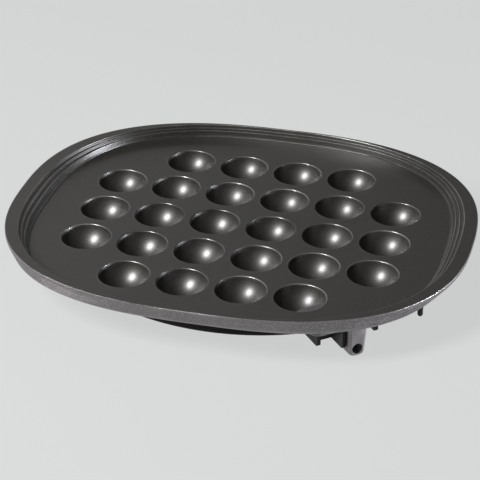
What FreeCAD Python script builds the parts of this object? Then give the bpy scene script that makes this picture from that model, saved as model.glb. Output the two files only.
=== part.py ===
import FreeCAD, Part
import math
import os

os.makedirs("parts", exist_ok=True)
Vec = FreeCAD.Vector
UP = Vec(0, 0, 1)

# The frame: Z is up, X runs along the long side, and the pan's flat bottom stands on z = 0.
SURFACE_Z = 34.0
RIM_HEIGHT = 11.3
SLAB = 3.0
RIM_TOP = SURFACE_Z + RIM_HEIGHT
SLAB_UNDERSIDE = SURFACE_Z - SLAB
OVERRUN = 1.0
NEARLY_UPRIGHT = 0.9
ROUNDING = (0, 30, 60, 90)

# Cups: six columns by five rows, and no cup in the four corners.
COLUMNS = 6
ROWS = 5
PITCH_X = 48.0
PITCH_Y = 50.0
CUP_RADIUS = 20.8
CUP_DEPTH = 18.0
CUP_WALL = 3.0
CUP_ROOT = 0.75
LIP_RADIUS = 0.9

# Outlines |x/a|^n + |y/b|^n = 1, each as half length, half width and fullness n.
FLANGE_OUTSIDE = (193.0, 159.8, 2.53)
SIDE_FOOT = (184.0, 159.2, 2.78)
UNDERSIDE = (178.0, 153.5, 2.80)
FLANGE_INSIDE = (181.5, 158.0, 2.46)
SURFACE_EDGE = (170.4, 156.0, 2.69)
OUTLINE_POINTS = 48
SIDE_FOOT_Z = SURFACE_Z + 1.8
FLANGE_EDGE = 2.4
EDGE_ROUND = 1.0

# The stepped inside of the rim: two ledges between three walls.
FIRST_LEDGE_Z = RIM_TOP - 3.1
SECOND_LEDGE_Z = RIM_TOP - 5.8
FOOT_STEP = 1.3

# Oval heat shield pan of pressed sheet under the cups.
PAN_LENGTH = 144.5
PAN_WIDTH = 117.0
PAN_HEIGHT = 11.5
PAN_SHEET = 1.0
PAN_CORNER = 3.0
PAN_LIP = 3.5
PAD_HEIGHT = 2.8
PAD_TOP_RADIUS = 7.0
PAD_FOOT_RADIUS = 10.5

# Posts cast under the plate, between the cups, that carry the pan, placed in cup pitches.
POST_PLACES = ((0, 1.5), (0, -1.5), (2, 0.5), (2, -0.5), (-2, 0.5), (-2, -0.5))
POST_RADIUS = 4.2
POST_ROOT_RADIUS = 5.4
PAN_HOLE_PLAY = 0.3
NOTCH_PLAY = 1.3
NOTCH_LENGTH = 35.0

# Sheathed heating element: a flat ring of two half circles and two straight runs.
ELEMENT_RADIUS = 3.2
ELEMENT_Z = 8.5
RING_RADIUS = 92.0
RING_CENTRE = 26.0
RING_BEND = 12.0
SHEATH_END = 134.0
SEAL_END = 138.5
COLD_PIN_RADIUS = 1.2
COLD_PIN_ROOT = 2.0
COLD_PIN_END = 146.5
SEAL_NECK = 1.5
SEAL_STEP = 0.8

# Clips that hold the ring above the pan.
CLIP_SHEET = 0.8
CLIP_WIDTH = 9.0
CLIP_FOOT = 11.0
CLIP_WRAP = 40.0
CLIP_PLAY = 0.15

# The socket corner, square to the rim there: u runs outward and v across, to the right seen
# from outside, with v = 0 in the socket's middle.
SOCKET_TURN = -50.0
SOCKET_SHIFT = 15.3
SEAT_Z = 28.0
SEAT_INNER = 136.0
SEAT_OUTER = 172.0
SEAT_HALF_WIDTH = 38.0
SEAT_CORNER = 8.0

# Probe socket: a drafted block with a blind hole for the thermostat's rod.
BLOCK_FACE = 173.0
BLOCK_BACK = 152.0
BLOCK_BOTTOM_Z = 3.4
BLOCK_WIDTH = 13.4
BLOCK_LEFT_DRAFT = 0.3
BLOCK_RIGHT_DRAFT = 2.2
BLOCK_ROUND = 2.6
BLOCK_EDGE_ROUND = 2.2
PROBE_Z = 9.0
PROBE_RADIUS = 4.5
PROBE_DEPTH = 19.0
TANG_BACK = 139.0
TANG_THICKNESS = 5.0
TANG_SCREWS_U = 143.4
TANG_SCREWS_V = 4.0
HOLE_PLAY = 0.15

# Terminal guard: fins and a cross web round the two terminal pins. Each fin has its v, and
# its inner and outer end along u; the socket leans towards the shorter inner fin.
FIN_BOTTOM_Z = 9.0
FIN_THICKNESS = 3.0
FIN_ROUND = 2.2
OUTER_FIN_V = 25.4
FINS = (
    (-OUTER_FIN_V, 134.0, 157.6),
    (-9.2, 147.0, 168.6),
    (10.8, 147.0, 163.5),
    (OUTER_FIN_V, 134.0, 157.6),
)
WEB_BACK = 147.0
WEB_FRONT = 150.0
EAR_V = 32.0
EAR_U = 151.0
EAR_RADIUS = 5.5
SCREW_HEAD_ROOM = 0.8
CUP_ROOM = 0.5

# Terminals.
TERMINAL_V = 17.3
TERMINAL_Z = 23.0
PIN_RADIUS = 2.5
PIN_TIP = 161.0
PIN_TAIL_RADIUS = 1.9
PIN_TAIL_END = 144.4
PIN_RIVET = 0.8
BUSH_RADIUS = 4.2
BUSH_FLANGE_RADIUS = 4.9
BUSH_FLANGE = 1.0
BUSH_FRONT = 1.0
STRAP_SHEET = 0.8
STRAP_WIDTH = 7.0
STRAP_BOTTOM_Z = 6.0

# Locating pegs near the plate's four corners.
PEG_X = 161.0
PEG_Y = 59.0
PEG_RADIUS = 2.25
PEG_BOTTOM_Z = 6.0
PEG_COLLAR_RADIUS = 4.5
PEG_COLLAR = 2.0
PEG_ROOT = 2.0

# Pan head screws: shank radius, head radius, head height and length in the hole.
PAN_SCREW = (1.9, 3.4, 1.9, 9.0)
SEAT_SCREW = (1.4, 2.7, 1.7, 8.0)
TANG_SCREW = (1.4, 2.7, 1.7, 9.5)
SCREW_PLAY = 0.05
SCREW_TIP_ROOM = 1.0
HEAD_FACE_SHARE = 0.72
HEAD_BAND_SHARE = 0.55


def outline(size, z):
    """One closed smooth edge round the plate, at a height."""
    half_length, half_width, fullness = size
    points = []
    for step in range(OUTLINE_POINTS):
        turn = 2 * math.pi * step / OUTLINE_POINTS
        cosine = math.cos(turn)
        sine = math.sin(turn)
        x = half_length * math.copysign(abs(cosine) ** (2 / fullness), cosine)
        y = half_width * math.copysign(abs(sine) ** (2 / fullness), sine)
        points.append(Vec(x, y, z))
    knots = [step / OUTLINE_POINTS for step in range(OUTLINE_POINTS + 1)]
    curve = Part.BSplineCurve()
    curve.interpolate(Points=points, PeriodicFlag=True, Parameters=knots)
    return Part.Wire([curve.toShape()])


def shrunk(size, inset):
    """The same outline, drawn in on every side."""
    return (size[0] - inset, size[1] - inset, size[2])


def stack(wires):
    """A solid with straight walls from each outline to the next."""
    return Part.makeLoft(wires, True, True)


def ellipse(half_length, half_width, z):
    edge = Part.Ellipse(Vec(0, 0, z), half_length, half_width).toShape()
    return Part.Wire([edge])


def rod(radius, start, end):
    """A round bar from one point to another."""
    along = end - start
    return Part.makeCylinder(radius, along.Length, start, along)


def block(low, high):
    return Part.makeBox(high.x - low.x, high.y - low.y, high.z - low.z, low)


def upright_edges(shape):
    """The straight edges that run up and down, or nearly so."""
    edges = []
    for edge in shape.Edges:
        run = edge.lastVertex().Point - edge.firstVertex().Point
        if run.Length > 0 and abs(run.z) > NEARLY_UPRIGHT * run.Length:
            edges.append(edge)
    return edges


def turned_to_corner(shape):
    """Moves a shape drawn along u and v to the socket corner."""
    shape = shape.copy()
    shape.translate(Vec(0, SOCKET_SHIFT, 0))
    shape.rotate(Vec(0, 0, 0), UP, SOCKET_TURN)
    return shape


def cup_places():
    places = []
    for row in range(ROWS):
        for column in range(COLUMNS):
            at_row_end = column in (0, COLUMNS - 1)
            if at_row_end and row in (0, ROWS - 1):
                continue
            x = (column - (COLUMNS - 1) / 2) * PITCH_X
            y = ((ROWS - 1) / 2 - row) * PITCH_Y
            places.append(Vec(x, y, SURFACE_Z))
    return places


def cup_centre_height():
    """Height of the cup's sphere centre above the cooking surface."""
    return CUP_RADIUS - CUP_DEPTH


def cup_cutter(place):
    """The room inside one cup: part of a sphere whose edge rolls over into the surface."""
    centre = cup_centre_height()
    reach = CUP_RADIUS + LIP_RADIUS
    drop = centre + LIP_RADIUS
    mouth = math.sqrt(reach ** 2 - drop ** 2)
    lean = math.asin(drop / reach)
    half_way = (math.pi / 2 + lean) / 2

    def on_sphere(angle):
        x = CUP_RADIUS * math.cos(angle)
        return Vec(x, 0, centre - CUP_RADIUS * math.sin(angle))

    def on_lip(angle):
        x = mouth - LIP_RADIUS * math.cos(angle)
        return Vec(x, 0, LIP_RADIUS * math.sin(angle) - LIP_RADIUS)

    wall = Part.Arc(on_sphere(math.pi / 2), on_sphere(half_way), on_sphere(lean)).toShape()
    lip = Part.Arc(on_lip(lean), on_lip(half_way), on_lip(math.pi / 2)).toShape()
    rise = Part.makeLine(Vec(mouth, 0, 0), Vec(mouth, 0, OVERRUN))
    top = Part.makeLine(Vec(mouth, 0, OVERRUN), Vec(0, 0, OVERRUN))
    axis = Part.makeLine(Vec(0, 0, OVERRUN), on_sphere(math.pi / 2))
    section = Part.Face(Part.Wire([wall, lip, rise, top, axis]))
    cutter = section.revolve(Vec(0, 0, 0), UP, 360)
    cutter.translate(place)
    return cutter


def cup_shell(place, radius=CUP_RADIUS + CUP_WALL):
    """The outside of one cup, up into the slab."""
    centre = place + Vec(0, 0, cup_centre_height())
    top = SLAB_UNDERSIDE + CUP_ROOT - centre.z
    latitude = math.degrees(math.asin(top / radius))
    return Part.makeSphere(radius, centre, UP, -90, latitude, 360)


def rim_step(share, z):
    """An outline part of the way from the flange's inner edge to the cooking surface."""
    size = []
    for outer, inner in zip(FLANGE_INSIDE, SURFACE_EDGE):
        size.append(outer + (inner - outer) * share)
    return outline(size, z)


def tray_room():
    """The room above the cooking surface, with the two ledges of the rim."""
    steps = (
        (0.00, RIM_TOP + OVERRUN),
        (0.00, RIM_TOP),
        (0.09, FIRST_LEDGE_Z),
        (0.36, FIRST_LEDGE_Z),
        (0.44, SECOND_LEDGE_Z),
        (0.68, SECOND_LEDGE_Z),
        (0.88, SURFACE_Z + FOOT_STEP),
        (0.92, SURFACE_Z + FOOT_STEP),
        (1.00, SURFACE_Z),
    )
    return stack([rim_step(share, z) for share, z in steps])


def plate_blank():
    """The casting's outside: a slanted side wall under a thin overhanging flange."""
    edge_foot_z = RIM_TOP - EDGE_ROUND - FLANGE_EDGE
    wires = [
        outline(UNDERSIDE, SLAB_UNDERSIDE),
        outline(SIDE_FOOT, SIDE_FOOT_Z),
        outline(shrunk(FLANGE_OUTSIDE, EDGE_ROUND / 3), edge_foot_z),
        outline(FLANGE_OUTSIDE, RIM_TOP - EDGE_ROUND),
        outline(shrunk(FLANGE_OUTSIDE, EDGE_ROUND / 3), RIM_TOP - EDGE_ROUND / 3),
        outline(shrunk(FLANGE_OUTSIDE, EDGE_ROUND), RIM_TOP),
    ]
    return stack(wires)


def post_places():
    return [Vec(x * PITCH_X, y * PITCH_Y, 0) for x, y in POST_PLACES]


def peg_places():
    places = []
    for x in (-PEG_X, PEG_X):
        for y in (-PEG_Y, PEG_Y):
            places.append(Vec(x, y, 0))
    return places


def pan_post(place):
    """A tapered post down to the pressed pad in the pan."""
    foot = PAN_SHEET + PAD_HEIGHT
    height = SLAB_UNDERSIDE + OVERRUN - foot
    start = place + Vec(0, 0, foot)
    return Part.makeCone(POST_RADIUS, POST_ROOT_RADIUS, height, start, UP)


def socket_seat():
    """The raised seat in the socket corner, clear of the nearest cups."""
    low = Vec(SEAT_INNER, -SEAT_HALF_WIDTH, SEAT_Z)
    high = Vec(SEAT_OUTER, SEAT_HALF_WIDTH, SLAB_UNDERSIDE + OVERRUN)
    pad = block(low, high)
    pad = pad.makeFillet(SEAT_CORNER, upright_edges(pad))
    inside = stack([outline(UNDERSIDE, SEAT_Z), outline(UNDERSIDE, RIM_TOP)])
    return turned_to_corner(pad).common(inside)


def seat_screw_places():
    """Where the probe socket's and the guard's screws enter the seat, along u and v."""
    tang = [(TANG_SCREWS_U, side * TANG_SCREWS_V) for side in (-1, 1)]
    ears = [(EAR_U, side * EAR_V) for side in (-1, 1)]
    return tang, ears


def pilot(place, top, bottom, radius):
    return Part.makeCylinder(radius, top - bottom, Vec(place.x, place.y, bottom), UP)


def cooking_plate():
    plate = plate_blank().cut(tray_room())
    additions = [cup_shell(place) for place in cup_places()]
    additions += [pan_post(place) for place in post_places()]
    additions.append(socket_seat())
    for place in peg_places():
        collar = Vec(place.x, place.y, SLAB_UNDERSIDE - PEG_COLLAR)
        additions.append(Part.makeCylinder(PEG_COLLAR_RADIUS, PEG_COLLAR + OVERRUN, collar, UP))
    plate = plate.fuse(additions)
    holes = [cup_cutter(place) for place in cup_places()]
    shank, _, _, length = PAN_SCREW
    foot = PAN_SHEET + PAD_HEIGHT
    for place in post_places():
        holes.append(pilot(place, foot + length, foot - OVERRUN, shank + SCREW_PLAY))
    for place in peg_places():
        root = SLAB_UNDERSIDE + PEG_ROOT
        holes.append(pilot(place, root, SLAB_UNDERSIDE - PEG_COLLAR - OVERRUN, PEG_RADIUS))
    tang, ears = seat_screw_places()
    for u, v in tang + ears:
        hole = pilot(Vec(u, v, 0), SURFACE_Z - OVERRUN, SEAT_Z - OVERRUN, SEAT_SCREW[0] + SCREW_PLAY)
        holes.append(turned_to_corner(hole))
    return plate.cut(holes).removeSplitter()


def pan_section(inset, z_bottom, top):
    """Nested ellipses up one side of the pan, with a rounded foot."""
    corner = PAN_CORNER - inset
    wires = []
    for degrees in ROUNDING:
        turn = math.radians(degrees)
        reach = corner * (1 - math.sin(turn)) + inset
        rise = z_bottom + corner * (1 - math.cos(turn))
        wires.append(ellipse(PAN_LENGTH - reach, PAN_WIDTH - reach, rise))
    wires.append(ellipse(PAN_LENGTH - inset, PAN_WIDTH - inset, top))
    return stack(wires)


def pressed_pad(place, inset):
    """A pad pressed up from the pan's floor, or the hollow below it."""
    height = PAD_HEIGHT + PAN_SHEET - inset
    foot = PAD_FOOT_RADIUS - inset
    top = PAD_TOP_RADIUS - inset
    return Part.makeCone(foot, top, height, place, UP)


def heat_shield_pan():
    pan = pan_section(0.0, 0.0, PAN_HEIGHT)
    lip_low = PAN_HEIGHT - PAN_SHEET
    lip = stack([
        ellipse(PAN_LENGTH + PAN_LIP, PAN_WIDTH + PAN_LIP, lip_low),
        ellipse(PAN_LENGTH + PAN_LIP, PAN_WIDTH + PAN_LIP, PAN_HEIGHT),
    ])
    pan = pan.fuse(lip).cut(pan_section(PAN_SHEET, PAN_SHEET, PAN_HEIGHT + OVERRUN))
    pan = pan.fuse([pressed_pad(place, 0.0) for place in post_places()])
    holes = [pressed_pad(place, PAN_SHEET) for place in post_places()]
    for place in post_places():
        holes.append(pilot(place, PAD_HEIGHT + PAN_SHEET + OVERRUN, 0, PAN_SCREW[0] + PAN_HOLE_PLAY))
    for side in (-1, 1):
        half = ELEMENT_RADIUS + NOTCH_PLAY
        low = Vec(COLD_PIN_END - NOTCH_LENGTH, side * TERMINAL_V - half, ELEMENT_Z - half)
        high = Vec(COLD_PIN_END, side * TERMINAL_V + half, PAN_HEIGHT + OVERRUN)
        holes.append(turned_to_corner(block(low, high)))
    return pan.cut(holes).removeSplitter()


def screw(kind, seat):
    """A pan head screw driven upward, with its head's top face on the seat."""
    shank, head, height, length = kind
    band_height = height * HEAD_BAND_SHARE
    body = Part.makeCylinder(shank, length - SCREW_TIP_ROOM, seat, UP)
    band = Part.makeCylinder(head, band_height, seat - Vec(0, 0, band_height), UP)
    face_start = seat - Vec(0, 0, height)
    face = Part.makeCone(head * HEAD_FACE_SHARE, head, height - band_height, face_start, UP)
    return face.fuse([band, body]).removeSplitter()


def pan_screws():
    seat = Vec(0, 0, PAD_HEIGHT)
    return [screw(PAN_SCREW, place + seat) for place in post_places()]


def socket_screws():
    tang, _ = seat_screw_places()
    under = SEAT_Z - TANG_THICKNESS
    return [turned_to_corner(screw(TANG_SCREW, Vec(u, v, under))) for u, v in tang]


def guard_screws():
    _, ears = seat_screw_places()
    under = SEAT_Z - FIN_THICKNESS
    return [turned_to_corner(screw(SEAT_SCREW, Vec(u, v, under))) for u, v in ears]


def ring_end(side):
    """Where the ring leaves its circle, the bend's middle and end, along u and v."""
    turn = math.radians(-SOCKET_TURN)
    centre = Vec(RING_CENTRE * math.cos(turn), RING_CENTRE * math.sin(turn) - SOCKET_SHIFT, 0)
    bend_v = side * (TERMINAL_V + RING_BEND)
    reach = RING_RADIUS + RING_BEND
    bend_u = centre.x + math.sqrt(reach ** 2 - (bend_v - centre.y) ** 2)
    bend = Vec(bend_u, bend_v, 0)
    out = bend - centre
    out.normalize()
    leave = centre + out * RING_RADIUS
    straight = Vec(bend_u, side * TERMINAL_V, 0)
    half_way = (leave - bend) + (straight - bend)
    half_way.normalize()
    return leave, bend + half_way * RING_BEND, straight


def element_path():
    """Centre line of the sheath: out of one terminal, round under the cups, and back."""
    def to_plate(point):
        turn = math.radians(SOCKET_TURN)
        across = point.y + SOCKET_SHIFT
        x = point.x * math.cos(turn) - across * math.sin(turn)
        y = point.x * math.sin(turn) + across * math.cos(turn)
        return Vec(x, y, ELEMENT_Z)

    near = [to_plate(point) for point in ring_end(-1)]
    far = [to_plate(point) for point in ring_end(1)]

    def on_ring(side, degrees):
        turn = math.radians(degrees)
        x = side * RING_CENTRE + RING_RADIUS * math.cos(turn)
        return Vec(x, RING_RADIUS * math.sin(turn), ELEMENT_Z)

    def angle_of(point):
        return math.degrees(math.atan2(point.y, point.x - RING_CENTRE))

    near_angle = angle_of(near[0])
    far_angle = angle_of(far[0])
    start = to_plate(Vec(SHEATH_END, -TERMINAL_V, 0))
    end = to_plate(Vec(SHEATH_END, TERMINAL_V, 0))
    edges = [
        Part.makeLine(start, near[2]),
        Part.Arc(near[2], near[1], near[0]).toShape(),
        Part.Arc(near[0], on_ring(1, (near_angle - 90) / 2), on_ring(1, -90)).toShape(),
        Part.makeLine(on_ring(1, -90), on_ring(-1, -90)),
        Part.Arc(on_ring(-1, -90), on_ring(-1, 180), on_ring(-1, 90)).toShape(),
        Part.makeLine(on_ring(-1, 90), on_ring(1, 90)),
        Part.Arc(on_ring(1, 90), on_ring(1, (far_angle + 90) / 2), far[0]).toShape(),
        Part.Arc(far[0], far[1], far[2]).toShape(),
        Part.makeLine(far[2], end),
    ]
    return Part.Wire(edges)


def heating_element():
    path = element_path()
    start = path.Edges[0].firstVertex().Point
    along = path.Edges[0].tangentAt(path.Edges[0].FirstParameter)
    circle = Part.Wire([Part.Circle(start, along, ELEMENT_RADIUS).toShape()])
    sheath = path.makePipeShell([circle], True, False)
    pins = []
    for side in (-1, 1):
        inner = Vec(SHEATH_END - COLD_PIN_ROOT, side * TERMINAL_V, ELEMENT_Z)
        outer = Vec(COLD_PIN_END, side * TERMINAL_V, ELEMENT_Z)
        pins.append(turned_to_corner(rod(COLD_PIN_RADIUS, inner, outer)))
    return sheath.fuse(pins).removeSplitter()


def element_seal(side):
    """Ceramic bead in the mouth of the sheath, round the cold pin."""
    start = Vec(SHEATH_END, side * TERMINAL_V, ELEMENT_Z)
    end = Vec(SEAL_END, side * TERMINAL_V, ELEMENT_Z)
    neck = Vec(SEAL_END - SEAL_NECK, side * TERMINAL_V, ELEMENT_Z)
    bead = rod(ELEMENT_RADIUS, start, neck).fuse(rod(ELEMENT_RADIUS - SEAL_STEP, neck, end))
    return turned_to_corner(bead.cut(rod(COLD_PIN_RADIUS, start, end)))


def terminal_strap(side):
    """Flat strap that carries current from the cold pin up to the terminal pin."""
    back = WEB_BACK - BUSH_FLANGE - STRAP_SHEET
    v = side * TERMINAL_V
    low = Vec(back, v - STRAP_WIDTH / 2, ELEMENT_Z)
    high = Vec(back + STRAP_SHEET, v + STRAP_WIDTH / 2, TERMINAL_Z)
    strap = block(low, high)
    upper = rod(STRAP_WIDTH / 2, Vec(back, v, TERMINAL_Z), Vec(back + STRAP_SHEET, v, TERMINAL_Z))
    foot_low = Vec(back, v - STRAP_WIDTH / 2, STRAP_BOTTOM_Z)
    foot_high = Vec(back + STRAP_SHEET, v + STRAP_WIDTH / 2, ELEMENT_Z)
    strap = strap.fuse([upper, block(foot_low, foot_high)])
    behind = back - OVERRUN
    ahead = back + STRAP_SHEET + OVERRUN
    holes = [
        rod(PIN_TAIL_RADIUS, Vec(behind, v, TERMINAL_Z), Vec(ahead, v, TERMINAL_Z)),
        rod(COLD_PIN_RADIUS, Vec(behind, v, ELEMENT_Z), Vec(ahead, v, ELEMENT_Z)),
    ]
    return turned_to_corner(strap.cut(holes).removeSplitter())


def pin_insulator(side):
    """Ceramic bush through the guard's web, with a flange behind it."""
    v = side * TERMINAL_V
    back = Vec(WEB_BACK - BUSH_FLANGE, v, TERMINAL_Z)
    face = Vec(WEB_BACK, v, TERMINAL_Z)
    front = Vec(WEB_FRONT + BUSH_FRONT, v, TERMINAL_Z)
    bush = rod(BUSH_FLANGE_RADIUS, back, face).fuse(rod(BUSH_RADIUS, face, front))
    bore = rod(PIN_TAIL_RADIUS, back - Vec(OVERRUN, 0, 0), front + Vec(OVERRUN, 0, 0))
    return turned_to_corner(bush.cut(bore).removeSplitter())


def terminal_pin(side):
    """Round contact pin with a domed tip, shouldered on the bush and riveted behind it."""
    v = side * TERMINAL_V
    shoulder = Vec(WEB_FRONT + BUSH_FRONT, v, TERMINAL_Z)
    tip = Vec(PIN_TIP - PIN_RADIUS, v, TERMINAL_Z)
    tail = Vec(WEB_BACK - BUSH_FLANGE - STRAP_SHEET, v, TERMINAL_Z)
    pin = rod(PIN_RADIUS, shoulder, tip).fuse([
        Part.makeSphere(PIN_RADIUS, tip),
        rod(PIN_TAIL_RADIUS, tail, shoulder),
        rod(PIN_TAIL_RADIUS + PIN_RIVET, Vec(PIN_TAIL_END, v, TERMINAL_Z), tail),
    ])
    return turned_to_corner(pin.removeSplitter())


def block_section(u, inset):
    """The probe socket seen from its back: upright on the left, leaning out on the right."""
    half = BLOCK_WIDTH / 2 - inset
    corner = BLOCK_BOTTOM_Z + BLOCK_ROUND
    left_top = Vec(u, -half - BLOCK_LEFT_DRAFT, SEAT_Z)
    right_top = Vec(u, half + BLOCK_RIGHT_DRAFT, SEAT_Z)
    left_foot = Vec(u, -half, corner)
    right_foot = Vec(u, half, corner)
    bottom_left = Vec(u, -half + BLOCK_ROUND, BLOCK_BOTTOM_Z)
    bottom_right = Vec(u, half - BLOCK_ROUND, BLOCK_BOTTOM_Z)
    bulge = BLOCK_ROUND * (1 - math.sqrt(0.5))
    left_middle = Vec(u, -half + bulge, BLOCK_BOTTOM_Z + bulge)
    right_middle = Vec(u, half - bulge, BLOCK_BOTTOM_Z + bulge)
    return Part.Wire([
        Part.makeLine(left_top, left_foot),
        Part.Arc(left_foot, left_middle, bottom_left).toShape(),
        Part.makeLine(bottom_left, bottom_right),
        Part.Arc(bottom_right, right_middle, right_foot).toShape(),
        Part.makeLine(right_foot, right_top),
        Part.makeLine(right_top, left_top),
    ])


def probe_socket():
    """Drafted cast block with the blind probe hole, and a tang for its two screws."""
    sections = [block_section(BLOCK_BACK, 0)]
    for degrees in ROUNDING:
        turn = math.radians(degrees)
        u = BLOCK_FACE - BLOCK_EDGE_ROUND * (1 - math.sin(turn))
        sections.append(block_section(u, BLOCK_EDGE_ROUND * (1 - math.cos(turn))))
    body = stack(sections)
    half = BLOCK_WIDTH / 2
    under = SEAT_Z - TANG_THICKNESS
    tang = block(Vec(TANG_BACK, -half, under), Vec(BLOCK_BACK + OVERRUN, half, SEAT_Z))
    mouth = Vec(BLOCK_FACE + OVERRUN, 0, PROBE_Z)
    holes = [rod(PROBE_RADIUS, Vec(BLOCK_FACE - PROBE_DEPTH, 0, PROBE_Z), mouth)]
    tang_screws, _ = seat_screw_places()
    for u, v in tang_screws:
        holes.append(pilot(Vec(u, v, 0), SEAT_Z + OVERRUN, under - OVERRUN, SEAT_SCREW[0] + HOLE_PLAY))
    return turned_to_corner(body.fuse(tang).cut(holes).removeSplitter())


def fin(v, inner, outer):
    """One upright fin whose lower outer corner is rounded off."""
    half = FIN_THICKNESS / 2
    blank = block(Vec(inner, v - half, FIN_BOTTOM_Z), Vec(outer, v + half, SEAT_Z))
    tip = Vec(outer, v, FIN_BOTTOM_Z)
    corner = min(blank.Edges, key=lambda edge: edge.CenterOfMass.distanceToPoint(tip))
    return blank.makeFillet(FIN_ROUND, [corner])


def guard_ear(side):
    """Flat lug beside the outer fin, for one screw."""
    low_z = SEAT_Z - FIN_THICKNESS
    lug = pilot(Vec(EAR_U, side * EAR_V, 0), SEAT_Z, low_z, EAR_RADIUS)
    reach = sorted((side * OUTER_FIN_V, side * EAR_V))
    low = Vec(EAR_U - EAR_RADIUS, reach[0], low_z)
    return lug.fuse(block(low, Vec(EAR_U + EAR_RADIUS, reach[1], SEAT_Z)))


def terminal_guard():
    """Four fins, the cross web behind the pins, and two ears for its screws."""
    pieces = [fin(*place) for place in FINS]
    pieces += [guard_ear(side) for side in (-1, 1)]
    edge = OUTER_FIN_V
    web = block(Vec(WEB_BACK, -edge, FIN_BOTTOM_Z), Vec(WEB_FRONT, edge, SEAT_Z))
    guard = web.fuse(pieces)
    behind = WEB_BACK - OVERRUN
    ahead = WEB_FRONT + OVERRUN
    notch_left = FINS[1][0] + FIN_THICKNESS / 2
    notch_right = FINS[2][0] - FIN_THICKNESS / 2
    notch_z = SEAT_Z - TANG_THICKNESS - SEAT_SCREW[2] - SCREW_HEAD_ROOM
    holes = [block(Vec(behind, notch_left, notch_z), Vec(ahead, notch_right, SEAT_Z + OVERRUN))]
    _, ears = seat_screw_places()
    for u, v in ears:
        low_z = SEAT_Z - FIN_THICKNESS - OVERRUN
        holes.append(pilot(Vec(u, v, 0), SEAT_Z + OVERRUN, low_z, SEAT_SCREW[0] + HOLE_PLAY))
    for side in (-1, 1):
        v = side * TERMINAL_V
        holes.append(rod(BUSH_RADIUS, Vec(behind, v, TERMINAL_Z), Vec(ahead, v, TERMINAL_Z)))
    guard = turned_to_corner(guard.cut(holes))
    clearance = CUP_RADIUS + CUP_WALL + CUP_ROOM
    reliefs = [cup_shell(place, clearance) for place in cup_places() if place.x > 0 > place.y]
    return guard.cut(reliefs).removeSplitter()


def locating_peg(place):
    """Turned peg with a domed end, pressed into its collar under the plate."""
    tip = Vec(place.x, place.y, PEG_BOTTOM_Z + PEG_RADIUS)
    root = Vec(place.x, place.y, SLAB_UNDERSIDE + PEG_ROOT)
    return rod(PEG_RADIUS, tip, root).fuse(Part.makeSphere(PEG_RADIUS, tip)).removeSplitter()


def clip_places():
    """Points on the ring's centre line, each with the direction towards the middle."""
    places = [(Vec(side * (RING_CENTRE + RING_RADIUS), 0, 0), Vec(-side, 0, 0)) for side in (-1, 1)]
    for x in (-RING_CENTRE, RING_CENTRE):
        for side in (-1, 1):
            places.append((Vec(x, side * RING_RADIUS, 0), Vec(0, -side, 0)))
    return places


def heater_clip(place, inward):
    """Bent strip: a foot on the pan's floor and a hook round the element."""
    inner = ELEMENT_RADIUS + CLIP_PLAY
    outer = inner + CLIP_SHEET
    floor = PAN_SHEET
    hook_end = math.radians(180 + CLIP_WRAP)
    middle = hook_end / 2

    def around(radius, angle):
        return Vec(radius * math.cos(angle), 0, ELEMENT_Z + radius * math.sin(angle))

    foot = [
        around(inner, 0),
        Vec(inner, 0, floor),
        Vec(outer + CLIP_FOOT, 0, floor),
        Vec(outer + CLIP_FOOT, 0, floor + CLIP_SHEET),
        Vec(outer, 0, floor + CLIP_SHEET),
        around(outer, 0),
    ]
    edges = [Part.makeLine(foot[step], foot[step + 1]) for step in range(len(foot) - 1)]
    edges.append(Part.Arc(around(outer, 0), around(outer, middle), around(outer, hook_end)).toShape())
    edges.append(Part.makeLine(around(outer, hook_end), around(inner, hook_end)))
    edges.append(Part.Arc(around(inner, hook_end), around(inner, middle), around(inner, 0)).toShape())
    section = Part.Wire(edges)
    clip = Part.Face(section).extrude(Vec(0, CLIP_WIDTH, 0))
    clip.translate(Vec(0, -CLIP_WIDTH / 2, 0))
    clip.rotate(Vec(0, 0, 0), UP, math.degrees(math.atan2(inward.y, inward.x)))
    clip.translate(place)
    return clip


def write(name, shape):
    if isinstance(shape, list):
        shape = Part.makeCompound(shape)
    shape.exportStep(os.path.join("parts", name + ".step"))
    print(name, "solids", len(shape.Solids), "volume", round(shape.Volume), "valid", shape.isValid())


write("cooking_plate", cooking_plate())
write("heat_shield_pan", heat_shield_pan())
write("pan_screws", pan_screws())
write("heating_element", heating_element())
write("probe_socket", probe_socket())
write("socket_screws", socket_screws())
write("terminal_guard", terminal_guard())
write("guard_screws", guard_screws())
for side, word in ((-1, "left"), (1, "right")):
    write("element_seal_" + word, element_seal(side))
    write("terminal_strap_" + word, terminal_strap(side))
    write("pin_insulator_" + word, pin_insulator(side))
    write("terminal_pin_" + word, terminal_pin(side))
for number, place in enumerate(peg_places(), 1):
    write("locating_peg_" + str(number), locating_peg(place))
for number, (place, inward) in enumerate(clip_places(), 1):
    write("heater_clip_" + str(number), heater_clip(place, inward))
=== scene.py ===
import math

import bmesh
import bpy
from mathutils import Matrix, Vector


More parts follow.
